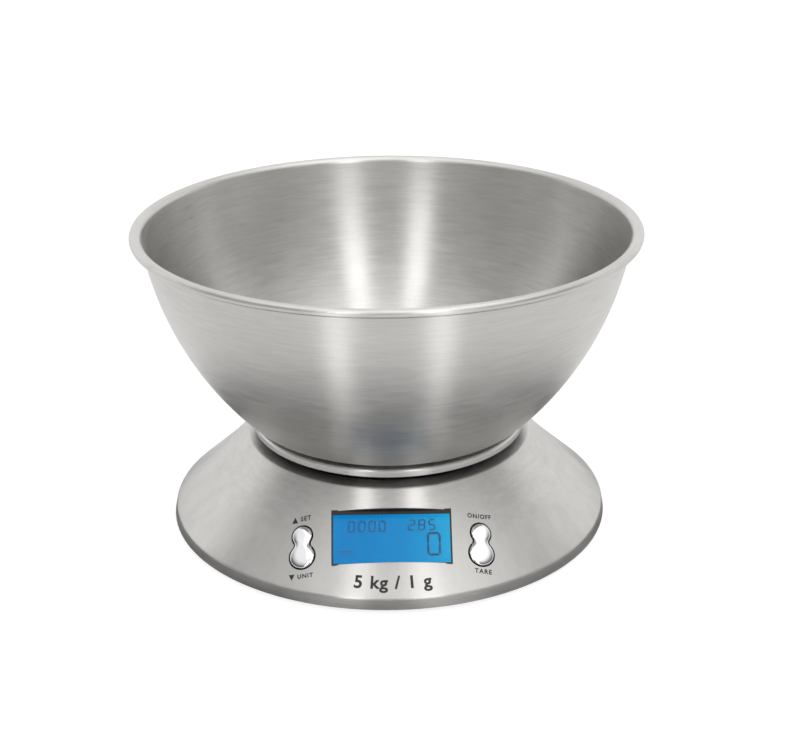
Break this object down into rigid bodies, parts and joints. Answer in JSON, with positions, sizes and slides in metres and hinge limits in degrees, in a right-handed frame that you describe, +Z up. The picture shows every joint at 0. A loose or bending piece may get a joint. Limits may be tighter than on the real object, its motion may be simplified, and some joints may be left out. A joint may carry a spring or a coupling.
{
  "type": "kitchen scale with bowl",
  "caption": "Electronic kitchen scale: lift-off steel mixing bowl on a sprung weighing platform over a conical steel base with a backlit display and peanut-shaped rocker buttons.",
  "frame": {"origin": "centre of the round footprint, on the surface that the rubber feet stand on", "axes": "+Z up along the axis of the bowl, -Y towards the user (display side), +X to the right"},
  "size_m": [0.2274, 0.2274, 0.14],
  "materials": {
    "steel_bowl": "fine circumferential satin brushing",
    "steel_shell": "fine circumferential satin brushing",
    "steel_plate": "turned satin steel",
    "screw_steel": "zinc-plated steel",
    "spring_steel": "nickel-plated spring steel",
    "cell_aluminium": "milled aluminium",
    "gauge_foil": "etched foil on amber film",
    "sealant_white": "soft white sealant",
    "bond_film": "clear double-sided bond",
    "black_plastic": "fine-grained black moulding",
    "tray_plastic": "fine-grained black moulding",
    "bezel_plastic": "matt black moulding",
    "foot_rubber": "soft dark rubber",
    "keypad_silicone": "translucent grey silicone",
    "zebra_rubber": "layered conductive rubber",
    "battery_wrap": "printed film sleeve",
    "display_clear": "clear window",
    "display_lcd": "blue backlit liquid-crystal cell",
    "guide_acrylic": "frosted light guide",
    "board_green": "solder-masked fibreglass",
    "chip_black": "epoxy",
    "part_mixed": "small electronic parts",
    "socket_white": "natural nylon",
    "rocker_chrome": "bright chrome plating on plastic",
    "wire_grey": "cable sheath",
    "wire_red": "wire insulation",
    "wire_black": "wire insulation"
  },
  "bodies": {
    "bowl": {"bowl": "steel_bowl"},
    "platform": {"platform_plate": "steel_plate", "platform_adhesive": "bond_film", "platform_carrier": "black_plastic", "carrier_screws": "screw_steel", "spacer_free_end": "screw_steel"},
    "left_rocker": {"left_rocker": "rocker_chrome"},
    "right_rocker": {"right_rocker": "rocker_chrome"},
    "battery_door": {"battery_door": "tray_plastic"},
    "base": {"backlight_guide": "guide_acrylic", "base_shell": "steel_shell", "battery_1": "battery_wrap", "battery_2": "battery_wrap", "battery_lead_black": "wire_black", "battery_lead_red": "wire_red", "battery_plates": "spring_steel", "battery_springs": "spring_steel", "board_chips": "chip_black", "board_parts": "part_mixed", "board_screws": "screw_steel", "bottom_tray": "tray_plastic", "cover_screws": "screw_steel", "display_window": "display_clear", "foot_front_left": "foot_rubber", "foot_front_right": "foot_rubber", "foot_rear_left": "foot_rubber", "foot_rear_right": "foot_rubber", "gauge_sealant": "sealant_white", "inner_chassis": "black_plastic", "key_board_screws": "screw_steel", "lcd_bezel": "bezel_plastic", "lcd_glass": "display_lcd", "left_key_board": "board_green", "left_key_lead": "wire_grey", "left_keypad": "keypad_silicone", "left_rocker_pin": "spring_steel", "load_cell_beam": "cell_aluminium", "load_cell_cable": "wire_grey", "load_cell_screws": "screw_steel", "main_board": "board_green", "overload_stop_screw": "screw_steel", "right_key_board": "board_green", "right_key_lead": "wire_grey", "right_keypad": "keypad_silicone", "right_rocker_pin": "spring_steel", "spacer_fixed_end": "screw_steel", "strain_gauges": "gauge_foil", "wire_sockets": "socket_white", "zebra_strips": "zebra_rubber"}
  },
  "joints": [
    {"name": "platform_travel", "type": "slide", "parent": "base", "child": "platform", "axis": [0, 0, -1], "range_m": [0, 0.0004], "stiffness_N_per_m": 120000, "deforming": ["load_cell_beam"]},
    {"name": "bowl_lift_off", "type": "slide", "parent": "platform", "child": "bowl", "axis": [0, 0, 1], "range_m": [0, 0.12]},
    {"name": "left_rocker_tilt", "type": "hinge", "parent": "base", "child": "left_rocker", "pos_m": [-0.0375, -0.07471, 0.01703], "axis": [0.9557, -0.1833, 0.2303], "range_deg": [-3, 3], "stiffness_Nm_per_rad": 0.08},
    {"name": "right_rocker_tilt", "type": "hinge", "parent": "base", "child": "right_rocker", "pos_m": [0.0375, -0.07471, 0.01703], "axis": [0.9557, 0.1833, -0.2303], "range_deg": [-3, 3], "stiffness_Nm_per_rad": 0.08},
    {"name": "battery_door_slide", "type": "slide", "parent": "base", "child": "battery_door", "axis": [0, 1, 0], "range_m": [0, 0.012]}
  ]
}
